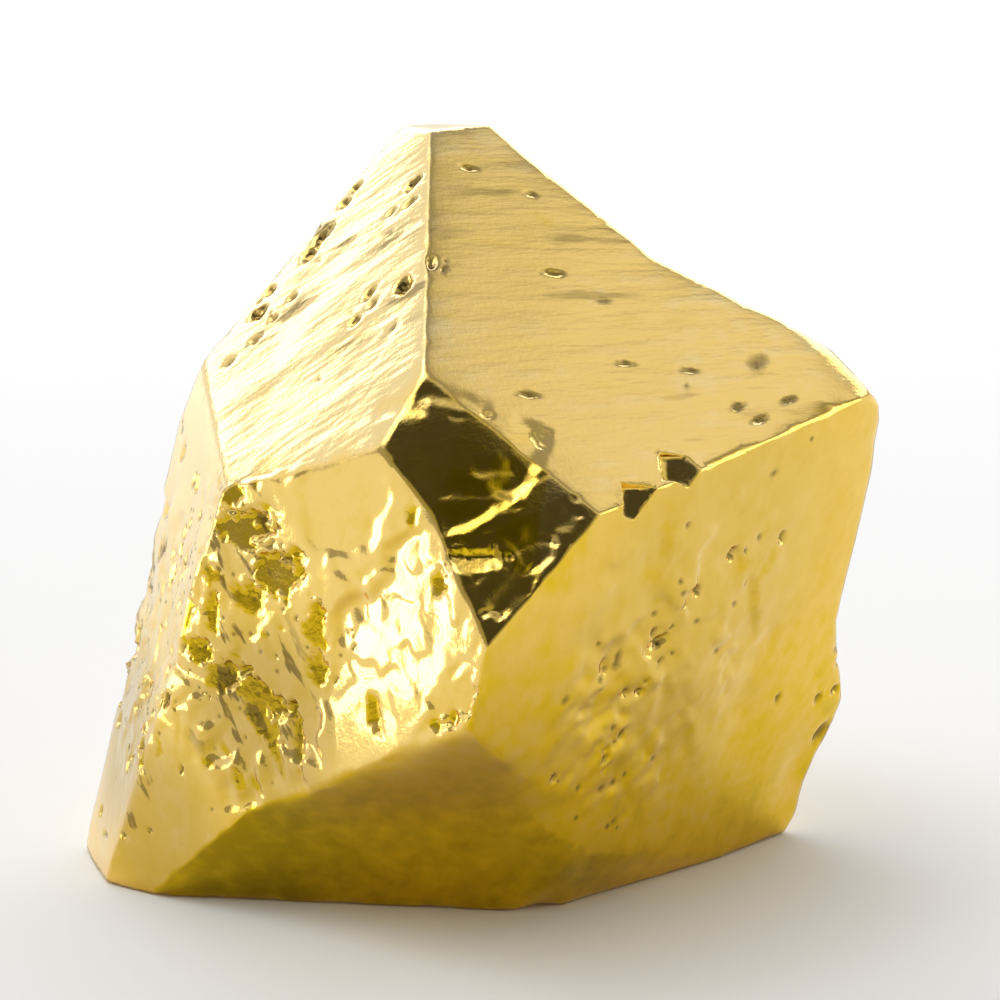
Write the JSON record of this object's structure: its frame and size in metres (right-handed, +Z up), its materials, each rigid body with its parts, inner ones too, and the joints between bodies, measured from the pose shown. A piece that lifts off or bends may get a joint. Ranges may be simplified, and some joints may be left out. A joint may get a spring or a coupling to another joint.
{
  "type": "gold nugget",
  "caption": "Angular native gold nugget with broad cleaved faces, a hollow in front and a flat face to rest on.",
  "frame": {"origin": "middle of the nugget's box, on the flat face that it rests on", "axes": "+Z up from the resting face; the small dark brow face and the hollow look along -Y; +X is towards the smooth right cheek and is the longest side"},
  "size_m": [0.0294, 0.026, 0.0269],
  "materials": {
    "gold": "bright native gold, mirror-like where worn smooth and hackly where it broke"
  },
  "bodies": {
    "root": {"nugget": "gold"}
  },
  "joints": []
}
